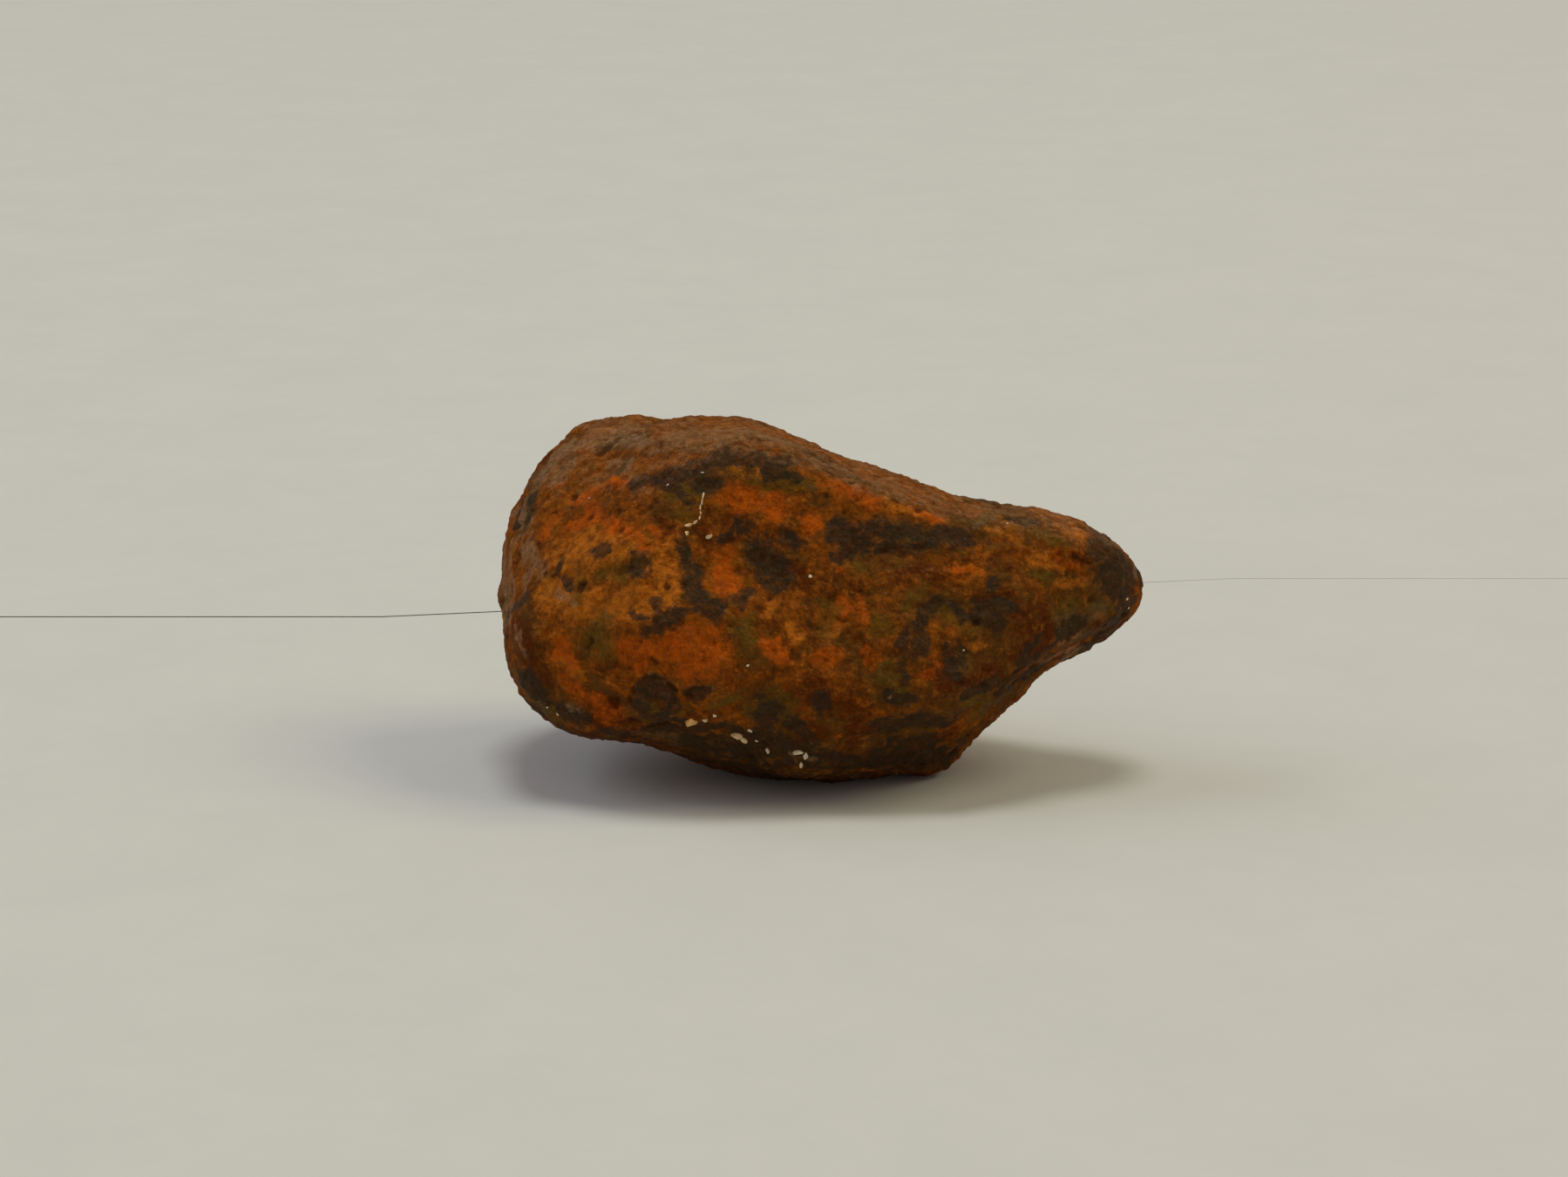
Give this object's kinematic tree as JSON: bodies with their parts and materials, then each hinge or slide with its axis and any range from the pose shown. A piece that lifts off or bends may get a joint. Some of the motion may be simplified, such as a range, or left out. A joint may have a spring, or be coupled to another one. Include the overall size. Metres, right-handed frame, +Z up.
{
  "type": "iron meteorite",
  "caption": "Blunt teardrop-shaped lump of rusted nickel-iron with a knobbly two-humped crown, shallow hollows, a narrow overhanging tip and a small flat resting spot underneath",
  "frame": {"origin": "Under the middle of the lump's overall box, on the surface that it lies on", "axes": "+X runs from the blunt end to the narrow tip, the longest way; -Y is the broad front face; +Z is up"},
  "size_m": [0.052, 0.03, 0.0286],
  "materials": {
    "weathered_iron": "rough rusted skin, orange-brown with dark grey-olive patches, dull sheen on the bare edges"
  },
  "bodies": {
    "root": {"meteorite": "weathered_iron"}
  },
  "joints": []
}
